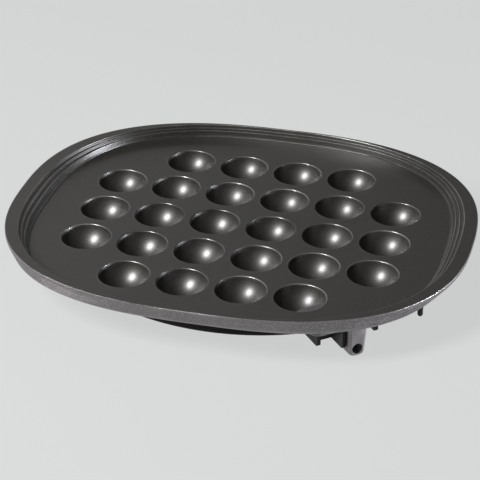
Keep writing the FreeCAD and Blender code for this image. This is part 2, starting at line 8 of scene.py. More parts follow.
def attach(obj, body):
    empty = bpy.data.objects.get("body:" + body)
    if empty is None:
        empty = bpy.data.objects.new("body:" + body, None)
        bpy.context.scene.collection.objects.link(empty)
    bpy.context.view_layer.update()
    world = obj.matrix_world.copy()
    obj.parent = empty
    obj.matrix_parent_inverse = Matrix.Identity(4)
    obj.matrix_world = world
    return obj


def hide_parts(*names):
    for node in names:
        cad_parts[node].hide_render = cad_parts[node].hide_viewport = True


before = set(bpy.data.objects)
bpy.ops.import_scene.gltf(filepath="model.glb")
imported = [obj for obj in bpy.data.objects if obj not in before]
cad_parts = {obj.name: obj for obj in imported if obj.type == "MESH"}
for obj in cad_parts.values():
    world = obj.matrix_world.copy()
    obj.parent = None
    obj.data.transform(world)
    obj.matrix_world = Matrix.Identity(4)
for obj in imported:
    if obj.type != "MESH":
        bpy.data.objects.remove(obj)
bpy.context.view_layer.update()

# Cooking plate: one aluminium die casting with 26 round cups, a stepped rim and a thin flange.
# A dark satin non-stick coat covers the inside and the flange, and a metallic heat-proof
# enamel the outside. The pan hangs on six cast posts, the plug's socket on a raised seat.
SURFACE_Z = 0.034
RIM_Z = 0.0453
UNDERSIDE_Z = 0.031
SIDE_FOOT_Z = 0.0358
FLANGE_OUTSIDE = (0.1930, 0.1598, 2.53)
SIDE_FOOT = (0.1840, 0.1592, 2.78)
UNDERSIDE = (0.1780, 0.1535, 2.80)
FLANGE_INSIDE = (0.1815, 0.1580, 2.46)
SURFACE_EDGE = (0.1704, 0.1560, 2.69)
COLUMNS_OF_CUPS = 6
ROWS_OF_CUPS = 5
PITCH_X = 0.048
PITCH_Y = 0.050
CUP_RADIUS = 0.0208
CUP_DEPTH = 0.018
CUP_WALL = 0.003
LIP_RADIUS = 0.0009
FLAT_RING = LIP_RADIUS / 2
CUP_SEGMENTS = 64
CUP_STEPS = 18
LIP_STEPS = 6
CUP_OUTSIDE_STEPS = 14
RIM_COLUMNS = 264
WELD = 0.00001


def on_outline(size, z, turn):
    """A point on the closed outline |x/a|^n + |y/b|^n = 1."""
    half_length, half_width, fullness = size
    cosine = math.cos(turn)
    sine = math.sin(turn)
    x = half_length * math.copysign(abs(cosine) ** (2 / fullness), cosine)
    y = half_width * math.copysign(abs(sine) ** (2 / fullness), sine)
    return Vector((x, y, z))


def drawn_in(size, inset):
    return (size[0] - inset, size[1] - inset, size[2])


def rim_step(share):
    """An outline part of the way from the flange's inner edge to the cooking surface."""
    return tuple(outer + (inner - outer) * share for outer, inner in zip(FLANGE_INSIDE, SURFACE_EDGE))


CORNER_STEPS = 4
CORNER_SHARE = 0.42
HOLD = 0.0004
HOLD_SHARE = 0.07


def rounded(points, radii):
    """The same run of points with each inner corner replaced by a short curve between two held points."""
    path = [points[0]]
    for before, corner, after, radius in zip(points, points[1:], points[2:], radii):
        back = before - corner
        ahead = after - corner
        start = corner + back.normalized() * min(radius, CORNER_SHARE * back.length)
        end = corner + ahead.normalized() * min(radius, CORNER_SHARE * ahead.length)
        path.append(start + back * min(HOLD_SHARE, HOLD / back.length))
        for step in range(CORNER_STEPS + 1):
            along = step / CORNER_STEPS
            path.append(start * (1 - along) ** 2 + corner * 2 * along * (1 - along) + end * along ** 2)
        path.append(end + ahead * min(HOLD_SHARE, HOLD / ahead.length))
    path.append(points[-1])
    return path


def new_piece(name, mesh):
    piece = bpy.data.objects.new(name, mesh)
    bpy.context.scene.collection.objects.link(piece)
    return piece


FOOT_Z = SURFACE_Z + 0.0013
LOWER_LEDGE_Z = RIM_Z - 0.0058
UPPER_LEDGE_Z = RIM_Z - 0.0031
FLANGE_EDGE_Z = RIM_Z - 0.0034
EDGE_BAND = 0.0025

# Each step of the rim: outline, height and corner radius, from the surface out and down.
RIM_STEPS = (
    (drawn_in(SURFACE_EDGE, EDGE_BAND), SURFACE_Z, 0),
    (SURFACE_EDGE, SURFACE_Z, 0.0016),
    (rim_step(0.92), FOOT_Z, 0.0004),
    (rim_step(0.88), FOOT_Z, 0.0004),
    (rim_step(0.68), LOWER_LEDGE_Z, 0.0006),
    (rim_step(0.44), LOWER_LEDGE_Z, 0.0008),
    (rim_step(0.36), UPPER_LEDGE_Z, 0.0006),
    (rim_step(0.09), UPPER_LEDGE_Z, 0.0008),
    (FLANGE_INSIDE, RIM_Z, 0.0007),
    (FLANGE_OUTSIDE, RIM_Z, 0.0008),
    (FLANGE_OUTSIDE, FLANGE_EDGE_Z, 0.0007),
    (SIDE_FOOT, SIDE_FOOT_Z, 0.0012),
    (UNDERSIDE, UNDERSIDE_Z, 0.0012),
    (drawn_in(UNDERSIDE, EDGE_BAND), UNDERSIDE_Z, 0),
)
FLANGE_STEP = 9
POINTS_PER_CORNER = CORNER_STEPS + 3


def rim_shell():
    """The rim and the side wall as one open band, with its two finishes."""
    mesh = bpy.data.meshes.new("rim_shell")
    shell = bmesh.new()
    columns = []
    for column in range(RIM_COLUMNS):
        turn = 2 * math.pi * (column + 0.5) / RIM_COLUMNS
        points = [on_outline(size, z, turn) for size, z, _ in RIM_STEPS]
        path = rounded(points, [radius for _, _, radius in RIM_STEPS[1:-1]])
        columns.append([shell.verts.new(point) for point in path])
    outside_from = (FLANGE_STEP - 1) * POINTS_PER_CORNER + CORNER_STEPS + 1
    for left, right in zip(columns, columns[1:] + columns[:1]):
        for step in range(len(left) - 1):
            face = shell.faces.new((left[step], right[step], right[step + 1], left[step + 1]))
            face.material_index = int(step >= outside_from)
    shell.to_mesh(mesh)
    shell.free()
    return new_piece("rim_shell", mesh)


def profile_line(name, points):
    """A run of points that a turned form is made from: x is the radius and z the height."""
    mesh = bpy.data.meshes.new(name)
    edges = [(step, step + 1) for step in range(len(points) - 1)]
    mesh.from_pydata([(radius, 0, z) for radius, z in points], edges, [])
    return new_piece(name, mesh)


def arc_points(centre, radius, start, end, steps):
    """Points on part of a circle in a profile, angles in degrees."""
    points = []
    for step in range(steps + 1):
        turn = math.radians(start + (end - start) * step / steps)
        points.append((centre[0] + radius * math.cos(turn), centre[1] + radius * math.sin(turn)))
    return points


def cup_profiles():
    """The inside of a cup with its rolled lip, and its outside below the slab."""
    centre_z = SURFACE_Z + CUP_RADIUS - CUP_DEPTH
    drop = CUP_RADIUS - CUP_DEPTH + LIP_RADIUS
    reach = CUP_RADIUS + LIP_RADIUS
    mouth = math.sqrt(reach ** 2 - drop ** 2)
    lean = math.degrees(math.asin(drop / reach))
    inside = arc_points((0, centre_z), CUP_RADIUS, -90, -lean, CUP_STEPS)
    inside += arc_points((mouth, SURFACE_Z - LIP_RADIUS), LIP_RADIUS, 180 - lean, 90, LIP_STEPS)[1:]
    inside.append((mouth + FLAT_RING, SURFACE_Z))
    shell_radius = CUP_RADIUS + CUP_WALL
    root = math.degrees(math.asin((UNDERSIDE_Z - centre_z) / shell_radius))
    outside = arc_points((0, centre_z), shell_radius, -90, root, CUP_OUTSIDE_STEPS)
    outside.append((outside[-1][0] + FLAT_RING, UNDERSIDE_Z))
    inside[0] = (0, inside[0][1])
    outside[0] = (0, outside[0][1])
    return inside, outside


def new_tree(name, kind, inputs, outputs):
    """A node group with its named sockets and its two end nodes."""
    tree = bpy.data.node_groups.new(name, kind)
    for label, socket_type, value in inputs:
        socket = tree.interface.new_socket(label, in_out="INPUT", socket_type=socket_type)
        if value is not None:
            socket.default_value = value
    for label, socket_type in outputs:
        tree.interface.new_socket(label, in_out="OUTPUT", socket_type=socket_type)
    return tree, tree.nodes.new("NodeGroupInput"), tree.nodes.new("NodeGroupOutput")


def add_node(tree, kind, inputs=None, **settings):
    """A node with its settings, whose inputs are values or other nodes' sockets."""
    node = tree.nodes.new(kind)
    for key, value in settings.items():
        setattr(node, key, value)
    for key, value in (inputs or {}).items():
        if isinstance(value, bpy.types.NodeSocket):
            tree.links.new(value, node.inputs[key])
        else:
            node.inputs[key].default_value = value
    return node


def math_node(tree, operation, first, second=0.0):
    return add_node(tree, "ShaderNodeMath", {0: first, 1: second}, operation=operation).outputs[0]


def mapped(tree, value, span, new_span=(0.0, 1.0), kind="LINEAR"):
    """The value carried from one span to another and held at both ends."""
    return add_node(tree, "ShaderNodeMapRange", {
        "Value": value,
        "From Min": span[0],
        "From Max": span[1],
        "To Min": new_span[0],
        "To Max": new_span[1],
    }, interpolation_type=kind).outputs[0]


def position_parts(tree):
    """The X, Y and Z of each point."""
    position = add_node(tree, "GeometryNodeInputPosition").outputs[0]
    return add_node(tree, "ShaderNodeSeparateXYZ", {0: position})


def turned_form_tree():
    """Turns a profile once round the upright axis."""
    tree, start, end = new_tree(
        "turned_form",
        "GeometryNodeTree",
        [("Profile", "NodeSocketGeometry", None), ("Segments", "NodeSocketInt", 32)],
        [("Form", "NodeSocketGeometry")],
    )
    profile = start.outputs["Profile"]
    count = add_node(tree, "GeometryNodeAttributeDomainSize", {0: profile}, component="MESH")
    steps = math_node(tree, "SUBTRACT", count.outputs["Point Count"], 1.0)
    columns = math_node(tree, "ADD", start.outputs["Segments"], 1.0)
    grid = add_node(tree, "GeometryNodeMeshGrid", {
        "Size X": steps,
        "Size Y": start.outputs["Segments"],
        "Vertices X": count.outputs["Point Count"],
        "Vertices Y": columns,
    })
    place = position_parts(tree)
    half = math_node(tree, "MULTIPLY", steps, 0.5)
    step = math_node(tree, "ROUND", math_node(tree, "ADD", place.outputs["X"], half))
    share = math_node(tree, "DIVIDE", place.outputs["Y"], start.outputs["Segments"])
    turn = math_node(tree, "MULTIPLY", math_node(tree, "ADD", share, 0.5), 2 * math.pi)
    sample = add_node(tree, "GeometryNodeSampleIndex", {
        "Geometry": profile,
        "Value": add_node(tree, "GeometryNodeInputPosition").outputs[0],
        "Index": step,
    }, data_type="FLOAT_VECTOR")
    point = add_node(tree, "ShaderNodeSeparateXYZ", {0: sample.outputs[0]})
    spread = add_node(tree, "ShaderNodeCombineXYZ", {
        "X": math_node(tree, "MULTIPLY", point.outputs["X"], math_node(tree, "COSINE", turn)),
        "Y": math_node(tree, "MULTIPLY", point.outputs["X"], math_node(tree, "SINE", turn)),
        "Z": point.outputs["Z"],
    })
    moved = add_node(tree, "GeometryNodeSetPosition", {
        "Geometry": grid.outputs["Mesh"],
        "Position": spread.outputs[0],
    })
    tree.links.new(moved.outputs[0], end.inputs["Form"])
    return tree


turned_form = turned_form_tree()


def object_geometry(tree, socket):
    return add_node(tree, "GeometryNodeObjectInfo", {"Object": socket}).outputs["Geometry"]


def lifted(tree, geometry, height, **settings):
    """The geometry at a height."""
    lift = add_node(tree, "ShaderNodeCombineXYZ", {"Z": height}).outputs[0]
    inputs = {"Geometry": geometry, "Translation": lift, **settings}
    return add_node(tree, "GeometryNodeTransform", inputs).outputs[0]


def merged(tree, geometry):
    inputs = {"Geometry": geometry, "Distance": WELD}
    return add_node(tree, "GeometryNodeMergeByDistance", inputs).outputs[0]


def real_copies(tree, places, instance, **settings):
    """A copy of one geometry on each point."""
    inputs = {"Points": places, "Instance": instance, **settings}
    copies = add_node(tree, "GeometryNodeInstanceOnPoints", inputs).outputs[0]
    return add_node(tree, "GeometryNodeRealizeInstances", {0: copies}).outputs[0]


CORNER_CUP_SHARE = 0.45


def cup_field_tree():
    """Sets the cups out in rows and fills the flat surface round their mouths, above and below."""
    tree, start, end = new_tree(
        "cup_field",
        "GeometryNodeTree",
        [
            ("Rim", "NodeSocketGeometry", None),
            ("Cup Inside", "NodeSocketObject", None),
            ("Cup Outside", "NodeSocketObject", None),
            ("Columns", "NodeSocketInt", COLUMNS_OF_CUPS),
            ("Rows", "NodeSocketInt", ROWS_OF_CUPS),
            ("Pitch X", "NodeSocketFloat", PITCH_X),
            ("Pitch Y", "NodeSocketFloat", PITCH_Y),
            ("Mouth Radius", "NodeSocketFloat", CUP_RADIUS),
            ("Root Radius", "NodeSocketFloat", CUP_RADIUS),
            ("Surface Height", "NodeSocketFloat", SURFACE_Z),
            ("Underside Height", "NodeSocketFloat", UNDERSIDE_Z),
            ("Segments", "NodeSocketInt", CUP_SEGMENTS),
            ("Inside Finish", "NodeSocketMaterial", None),
            ("Outside Finish", "NodeSocketMaterial", None),
        ],
        [("Plate", "NodeSocketGeometry")],
    )
    given = start.outputs
    length = math_node(tree, "MULTIPLY", given["Pitch X"], math_node(tree, "SUBTRACT", given["Columns"], 1.0))
    width = math_node(tree, "MULTIPLY", given["Pitch Y"], math_node(tree, "SUBTRACT", given["Rows"], 1.0))
    grid = add_node(tree, "GeometryNodeMeshGrid", {
        "Size X": length,
        "Size Y": width,
        "Vertices X": given["Columns"],
        "Vertices Y": given["Rows"],
    })
    place = position_parts(tree)
    far_x = math_node(tree, "GREATER_THAN", math_node(tree, "ABSOLUTE", place.outputs["X"]),
                      math_node(tree, "MULTIPLY", length, CORNER_CUP_SHARE))
    far_y = math_node(tree, "GREATER_THAN", math_node(tree, "ABSOLUTE", place.outputs["Y"]),
                      math_node(tree, "MULTIPLY", width, CORNER_CUP_SHARE))
    places = add_node(tree, "GeometryNodeDeleteGeometry", {
        "Geometry": grid.outputs["Mesh"],
        "Selection": math_node(tree, "MULTIPLY", far_x, far_y),
    }, domain="POINT").outputs[0]
    open_edge = add_node(tree, "FunctionNodeCompare", {
        2: add_node(tree, "GeometryNodeInputMeshEdgeNeighbors").outputs[0],
        3: 1,
    }, data_type="INT", operation="EQUAL").outputs[0]
    both_levels = math_node(tree, "ADD", given["Surface Height"], given["Underside Height"])
    middle = math_node(tree, "MULTIPLY", both_levels, 0.5)
    height = position_parts(tree)
    upper = math_node(tree, "GREATER_THAN", height.outputs["Z"], middle)
    lower = math_node(tree, "SUBTRACT", 1.0, upper)
    join = add_node(tree, "GeometryNodeJoinGeometry")
    sides = (
        (upper, "Mouth Radius", "Surface Height", "Cup Inside", "Inside Finish"),
        (lower, "Root Radius", "Underside Height", "Cup Outside", "Outside Finish"),
    )
    for side, radius, level, profile, finish in sides:
        edge = add_node(tree, "GeometryNodeMeshToCurve", {
            "Mesh": given["Rim"],
            "Selection": math_node(tree, "MULTIPLY", open_edge, side),
        }).outputs[0]
        circle = add_node(tree, "GeometryNodeCurvePrimitiveCircle", {
            "Resolution": given["Segments"],
            "Radius": given[radius],
        }).outputs[0]
        outlines = add_node(tree, "GeometryNodeJoinGeometry")
        tree.links.new(edge, outlines.inputs[0])
        tree.links.new(real_copies(tree, places, circle), outlines.inputs[0])
        flat = add_node(tree, "GeometryNodeFillCurve", {"Curve": outlines.outputs[0]}, mode="TRIANGLES")
        field = lifted(tree, flat.outputs[0], given[level])
        cup = add_node(tree, "GeometryNodeGroup", node_tree=turned_form)
        tree.links.new(object_geometry(tree, given[profile]), cup.inputs["Profile"])
        tree.links.new(given["Segments"], cup.inputs["Segments"])
        both = add_node(tree, "GeometryNodeJoinGeometry")
        tree.links.new(field, both.inputs[0])
        tree.links.new(real_copies(tree, places, cup.outputs[0]), both.inputs[0])
        coated = add_node(tree, "GeometryNodeSetMaterial", {
            "Geometry": both.outputs[0],
            "Material": given[finish],
        })
        tree.links.new(coated.outputs[0], join.inputs[0])
    tree.links.new(given["Rim"], join.inputs[0])
    tree.links.new(merged(tree, join.outputs[0]), end.inputs["Plate"])
    return tree


def turned_set_tree():
    """Turns one profile and sets it out on points, with a cross recess where it is a screw."""
    tree, start, end = new_tree(
        "turned_set",
        "GeometryNodeTree",
        [
            ("Places", "NodeSocketGeometry", None),
            ("Profile", "NodeSocketObject", None),
            ("Segments", "NodeSocketInt", 32),
            ("Recessed", "NodeSocketBool", False),
            ("Recess Height", "NodeSocketFloat", 0.0),
            ("Recess Size", "NodeSocketVector", (0.003, 0.0008, 0.001)),
            ("Seed", "NodeSocketInt", 3),
            ("Finish", "NodeSocketMaterial", None),
        ],
        [("Set", "NodeSocketGeometry")],
    )
    given = start.outputs
    form = add_node(tree, "GeometryNodeGroup", node_tree=turned_form)
    tree.links.new(object_geometry(tree, given["Profile"]), form.inputs["Profile"])
    tree.links.new(given["Segments"], form.inputs["Segments"])
    solid = merged(tree, form.outputs[0])
    bar = add_node(tree, "GeometryNodeMeshCube", {"Size": given["Recess Size"]}).outputs[0]
    cutters = add_node(tree, "GeometryNodeJoinGeometry")
    for turn in (0, math.pi / 2):
        placed = lifted(tree, bar, given["Recess Height"], Rotation=(0, 0, turn))
        tree.links.new(placed, cutters.inputs[0])
    cut = add_node(tree, "GeometryNodeMeshBoolean", {
        "Mesh 1": solid,
        "Mesh 2": cutters.outputs[0],
    }, operation="DIFFERENCE")
    shown = add_node(tree, "GeometryNodeSwitch", {
        "Switch": given["Recessed"],
        "False": solid,
        "True": cut.outputs[0],
    }, input_type="GEOMETRY").outputs[0]
    spin = add_node(tree, "FunctionNodeRandomValue", {3: math.pi, "Seed": given["Seed"]}, data_type="FLOAT")
    facing = add_node(tree, "ShaderNodeCombineXYZ", {"Z": spin.outputs[1]}).outputs[0]
    real = real_copies(tree, given["Places"], shown, Rotation=facing)
    finished = add_node(tree, "GeometryNodeSetMaterial", {"Geometry": real, "Material": given["Finish"]})
    tree.links.new(finished.outputs[0], end.inputs["Set"])
    return tree


turned_set = turned_set_tree()


def turned_copies(name, profile, places, finish, **recess):
    """One turned form at several places, as one piece."""
    line = profile_line(name + "_profile", profile)
    points = bpy.data.meshes.new(name + "_places")
    points.from_pydata(places, [], [])
    piece = new_piece(name, points)
    modifier = piece.modifiers.new("turned_set", "NODES")
    modifier.node_group = turned_set
    set_inputs(modifier, profile=line, finish=finish, **recess)
    piece = baked(piece, name)
    bpy.data.objects.remove(line)
    return piece


def set_inputs(modifier, **values):
    """Fills the named inputs of a geometry nodes modifier."""
    for item in modifier.node_group.interface.items_tree:
        key = item.name.replace(" ", "_").lower()
        if item.in_out == "INPUT" and key in values:
            modifier[item.identifier] = values[key]


# How tight an edge must be to get the paler edge colour: partly real wear, partly a painted highlight.
WORN_AND_GLINT_RADIUS = 0.0016
WORN_AND_GLINT_FROM = 0.15
SHARP_FROM = math.radians(32)


def baked(piece, name, wears_and_glints=False):
    """The piece as its modifiers leave it, as a plain mesh with outward faces.

    Where asked, the edge attribute is high on edges that are rounded tighter than the worn radius. Finishes
    paint these edges paler, partly as real wear and partly as a painted highlight.
    """
    bpy.context.view_layer.update()
    depsgraph = bpy.context.evaluated_depsgraph_get()
    mesh = bpy.data.meshes.new_from_object(piece.evaluated_get(depsgraph))
    work = bmesh.new()
    work.from_mesh(mesh)
    bmesh.ops.remove_doubles(work, verts=work.verts, dist=WELD / 10)
    bmesh.ops.recalc_face_normals(work, faces=work.faces)
    work.normal_update()
    for face in work.faces:
        face.smooth = True
    # The edge mask: partly real wear, partly where a highlight is painted.
    wear_and_glint = work.verts.layers.float.new("edge_wear")
    for vert in work.verts if wears_and_glints else ():
        falls = []
        for edge in vert.link_edges:
            run = edge.other_vert(vert).co - vert.co
            falls.append(-run.dot(vert.normal) / max(run.length_squared, WELD ** 2))
        vert[wear_and_glint] = min(1.0, max(0.0, WORN_AND_GLINT_RADIUS * max(falls, default=0.0) - WORN_AND_GLINT_FROM))
    work.to_mesh(mesh)
    work.free()
    mesh.set_sharp_from_angle(angle=SHARP_FROM)
    bpy.data.objects.remove(piece)
    mesh.name = name
    return new_piece(name, mesh)


FLECKS_PER_GRAIN = 1.6


def grain_tree():
    """Fine grain of a sprayed or cast surface: a height, a fleck mask and a slow cloud."""
    tree, start, end = new_tree(
        "surface_grain",
        "ShaderNodeTree",
        [("Grain Size", "NodeSocketFloat", 0.0006), ("Cloud Size", "NodeSocketFloat", 0.05),
         ("Fleck Share", "NodeSocketFloat", 0.3), ("Flake Tilt", "NodeSocketFloat", 0.1)],
        [("Height", "NodeSocketFloat"), ("Fleck", "NodeSocketFloat"), ("Cloud", "NodeSocketFloat"),
         ("Tilted Normal", "NodeSocketVector")],
    )
    place = add_node(tree, "ShaderNodeTexCoord").outputs["Object"]
    grain = add_node(tree, "ShaderNodeTexNoise", {
        "Vector": place,
        "Scale": math_node(tree, "DIVIDE", 1.0, start.outputs["Grain Size"]),
        "Detail": 2.0,
    }).outputs[0]
    cells = add_node(tree, "ShaderNodeTexVoronoi", {
        "Vector": place,
        "Scale": math_node(tree, "DIVIDE", FLECKS_PER_GRAIN, start.outputs["Grain Size"]),
    })
    tone = add_node(tree, "ShaderNodeSeparateColor", {0: cells.outputs["Color"]}).outputs[0]
    limit = math_node(tree, "SUBTRACT", 1.0, start.outputs["Fleck Share"])
    fleck = mapped(tree, tone, (limit, 1.0))
    cloud = add_node(tree, "ShaderNodeTexNoise", {
        "Vector": place,
        "Scale": math_node(tree, "DIVIDE", 1.0, start.outputs["Cloud Size"]),
        "Detail": 4.0,
        "Roughness": 0.6,
    }).outputs[0]
    lean = add_node(tree, "ShaderNodeVectorMath", {
        0: cells.outputs["Color"],
        1: (0.5, 0.5, 0.5),
    }, operation="SUBTRACT")
    lean = add_node(tree, "ShaderNodeVectorMath", {
        0: lean.outputs[0],
        "Scale": start.outputs["Flake Tilt"],
    }, operation="SCALE")
    upright = add_node(tree, "ShaderNodeNewGeometry").outputs["Normal"]
    tilted = add_node(tree, "ShaderNodeVectorMath", {0: upright, 1: lean.outputs[0]}, operation="ADD")
    tilted = add_node(tree, "ShaderNodeVectorMath", {0: tilted.outputs[0]}, operation="NORMALIZE").outputs[0]
    for label, socket in (("Height", grain), ("Fleck", fleck), ("Cloud", cloud), ("Tilted Normal", tilted)):
        tree.links.new(socket, end.inputs[label])
    return tree


surface_grain = grain_tree()
GLAZE_ROUGHNESS = 0.34
ROUGHNESS_SWING = 0.06
DARKER = 0.82
LIGHTER = 1.16
CLOUD_SPAN = (0.3, 0.7)
# Where the cloud lets the paler edge colour show: partly wear, partly a painted highlight.
WEAR_AND_GLINT_SPAN = (0.35, 0.6)
WEAR_SMOOTHS = 0.12
WEAR_POLISHES = 0.24
RELIEF_SHARE = 1 / 6


def grained_finish(name, colour, fleck_colour, roughness, grain_size, bump, fleck_share, fleck_strength,
                   cloud_size, metallic=0.0, flake_tilt=0.06, glaze=0.0, shine=0.5, worn_and_glint_colour=None):
    """A satin or matt finish with grain, flecks and slow changes of tone, and paler tight edges that are
    partly worn and partly a painted highlight.
    """
    material = bpy.data.materials.new(name)
    material.use_nodes = True
    tree = material.node_tree
    surface = tree.nodes["Principled BSDF"]
    surface.inputs["Metallic"].default_value = metallic
    surface.inputs["Coat Weight"].default_value = glaze
    surface.inputs["Specular IOR Level"].default_value = shine
    grain = add_node(tree, "ShaderNodeGroup", node_tree=surface_grain)
    grain.inputs["Grain Size"].default_value = grain_size
    grain.inputs["Cloud Size"].default_value = cloud_size
    grain.inputs["Fleck Share"].default_value = fleck_share
    grain.inputs["Flake Tilt"].default_value = flake_tilt
    darker = tuple(DARKER * part for part in colour)
    lighter = tuple(LIGHTER * part for part in colour)
    tone = add_node(tree, "ShaderNodeMix", {
        "Factor": grain.outputs["Cloud"],
        6: (*darker, 1),
        7: (*lighter, 1),
    }, data_type="RGBA").outputs[2]
    amount = math_node(tree, "MULTIPLY", grain.outputs["Fleck"], fleck_strength)
    colour_out = add_node(tree, "ShaderNodeMix", {
        "Factor": amount,
        6: tone,
        7: (*fleck_colour, 1),
    }, data_type="RGBA").outputs[2]
    # Paler colour on tight edges: partly real wear, partly a painted highlight. The same mask also lowers the
    # roughness there.
    wear_and_glint = add_node(tree, "ShaderNodeAttribute", attribute_name="edge_wear").outputs["Fac"]
    worn_and_glint = math_node(tree, "MULTIPLY", wear_and_glint, mapped(tree, grain.outputs["Cloud"], WEAR_AND_GLINT_SPAN))
    colour_out = add_node(tree, "ShaderNodeMix", {
        "Factor": worn_and_glint,
        6: colour_out,
        7: (*(worn_and_glint_colour or lighter), 1),
    }, data_type="RGBA").outputs[2]
    tree.links.new(colour_out, surface.inputs["Base Color"])
    swing = (roughness - ROUGHNESS_SWING, roughness + ROUGHNESS_SWING)
    rough = mapped(tree, grain.outputs["Cloud"], CLOUD_SPAN, swing)
    smoother = math_node(tree, "SUBTRACT", rough, math_node(tree, "MULTIPLY", wear_and_glint, WEAR_SMOOTHS))
    tree.links.new(smoother, surface.inputs["Roughness"])
    polish = math_node(tree, "MULTIPLY", wear_and_glint, WEAR_POLISHES)
    tree.links.new(math_node(tree, "SUBTRACT", GLAZE_ROUGHNESS, polish), surface.inputs["Coat Roughness"])
    relief = add_node(tree, "ShaderNodeBump", {
        "Height": grain.outputs["Height"],
        "Strength": bump,
        "Distance": grain_size * RELIEF_SHARE,
        "Normal": grain.outputs["Tilted Normal"],
    }).outputs[0]
    tree.links.new(relief, surface.inputs["Normal"])
    return material


nonstick_coat = grained_finish(
    "nonstick_coat",
    colour=(0.019, 0.0163, 0.0136),
    fleck_colour=(0.15, 0.143, 0.136),
    roughness=0.52,
    grain_size=0.0005,
    bump=0.30,
    fleck_share=0.2,
    fleck_strength=0.4,
    cloud_size=0.07,
    metallic=0.6,
    flake_tilt=0.12,
    glaze=1.0,
    # Paler colour of the cup lips and rim edges: partly a painted highlight, partly real wear of the coat.
    worn_and_glint_colour=(0.15, 0.145, 0.14),
)
outside_enamel = grained_finish(
    "outside_enamel",
    colour=(0.125, 0.116, 0.121),
    fleck_colour=(0.50, 0.47, 0.48),
    roughness=0.42,
    grain_size=0.0008,
    bump=0.45,
    fleck_share=0.3,
    fleck_strength=0.3,
    cloud_size=0.04,
    metallic=0.75,
    flake_tilt=0.26,
    # Paler colour of the outside's rounded edges: partly a painted highlight, partly real wear of the enamel.
    worn_and_glint_colour=(0.42, 0.40, 0.40),
)

rim = rim_shell()
cup_inside, cup_outside = cup_profiles()
inside_line = profile_line("cup_inside", cup_inside)
outside_line = profile_line("cup_outside", cup_outside)
rim.data.materials.append(nonstick_coat)
rim.data.materials.append(outside_enamel)
field = rim.modifiers.new("cup_field", "NODES")
field.node_group = cup_field_tree()
set_inputs(
    field,
    cup_inside=inside_line,
    cup_outside=outside_line,
    mouth_radius=cup_inside[-1][0],
    root_radius=cup_outside[-1][0],
    inside_finish=nonstick_coat,
    outside_finish=outside_enamel,
)
# The casting's tight edges are marked for a paler colour: partly real wear, partly a painted highlight.
plate_casting = baked(rim, "plate_casting", wears_and_glints=True)

IN_SLAB_Z = 0.0325
POST_PITCHES = ((0, 1.5), (0, -1.5), (2, 0.5), (2, -0.5), (-2, 0.5), (-2, -0.5))
POST_PLACES = [(x * PITCH_X, y * PITCH_Y) for x, y in POST_PITCHES]
POST_FOOT_Z = 0.0038
POST_RADIUS = 0.0042
POST_CHAMFER = 0.0004
post_profile = [
    (0, POST_FOOT_Z),
    (POST_RADIUS - POST_CHAMFER, POST_FOOT_Z),
    (POST_RADIUS, POST_FOOT_Z + POST_CHAMFER),
    (0.0052, 0.0275),
    (0.0056, 0.0296),
    (0.0066, 0.0306),
    (0.0072, IN_SLAB_Z),
    (0, IN_SLAB_Z),
]
posts = turned_copies("posts", post_profile, [(x, y, 0) for x, y in POST_PLACES], outside_enamel)

PEG_X = 0.161
PEG_Y = 0.059
PEG_PLACES = [(x, y, 0) for x in (-PEG_X, PEG_X) for y in (-PEG_Y, PEG_Y)]
COLLAR_Z = 0.029
COLLAR_RADIUS = 0.0045
COLLAR_CHAMFER = 0.0005
COLLAR_ROOT = 0.0006
collar_profile = [
    (0, COLLAR_Z),
    (COLLAR_RADIUS - COLLAR_CHAMFER, COLLAR_Z),
    (COLLAR_RADIUS, COLLAR_Z + COLLAR_CHAMFER),
    (COLLAR_RADIUS, UNDERSIDE_Z - COLLAR_ROOT),
    (COLLAR_RADIUS + COLLAR_ROOT, UNDERSIDE_Z),
    (COLLAR_RADIUS + COLLAR_ROOT, IN_SLAB_Z),
    (0, IN_SLAB_Z),
]
collars = turned_copies("peg_collars", collar_profile, PEG_PLACES, outside_enamel)

SOCKET_TURN = math.radians(-50)
SOCKET_SHIFT = 0.0153
SEAT_Z = 0.028
SEAT_INNER = 0.136
SEAT_OUTER = 0.172
SEAT_HALF_WIDTH = 0.038
SEAT_CORNER = 0.008
SEAT_CORNER_STEPS = 6
SEAT_SPACING = 0.004


def at_corner(u, v, z):
    """A point at the socket corner: u runs outward and v across."""
    return Matrix.Rotation(SOCKET_TURN, 3, "Z") @ Vector((u, v + SOCKET_SHIFT, z))


def held_inside(point, size):
    """The point, or the nearest one inward of it that is on the outline."""
    half_length, half_width, fullness = size
    reach = abs(point.x / half_length) ** fullness + abs(point.y / half_width) ** fullness
    shrink = max(1, reach ** (1 / fullness))
    return Vector((point.x / shrink, point.y / shrink, point.z))


def seat_ring(inset, z):
    """The seat's rounded rectangle, held inside the plate's underside."""
    corner = SEAT_CORNER - inset
    near_u = SEAT_INNER + inset + corner
    far_u = SEAT_OUTER - inset - corner
    far_v = SEAT_HALF_WIDTH - inset - corner
    middles = ((far_u, far_v), (near_u, far_v), (near_u, -far_v), (far_u, -far_v))
    ring = []
    for quarter, middle in enumerate(middles):
        ring += arc_points(middle, corner, 90 * quarter, 90 * quarter + 90, SEAT_CORNER_STEPS)
    points = []
    for here, ahead in zip(ring, ring[1:] + ring[:1]):
        parts = max(1, round(math.dist(here, ahead) / SEAT_SPACING))
        for part in range(parts):
            u, v = Vector(here).lerp(Vector(ahead), part / parts)
            points.append(held_inside(at_corner(u, v, z), drawn_in(UNDERSIDE, inset)))
    return points


# Each level of the seat: how far its outline is drawn in, and its height, from the slab down.
SEAT_LEVELS = ((0, IN_SLAB_Z), (0, SEAT_Z + 0.0008), (0.0003, SEAT_Z + 0.0002), (0.0009, SEAT_Z))


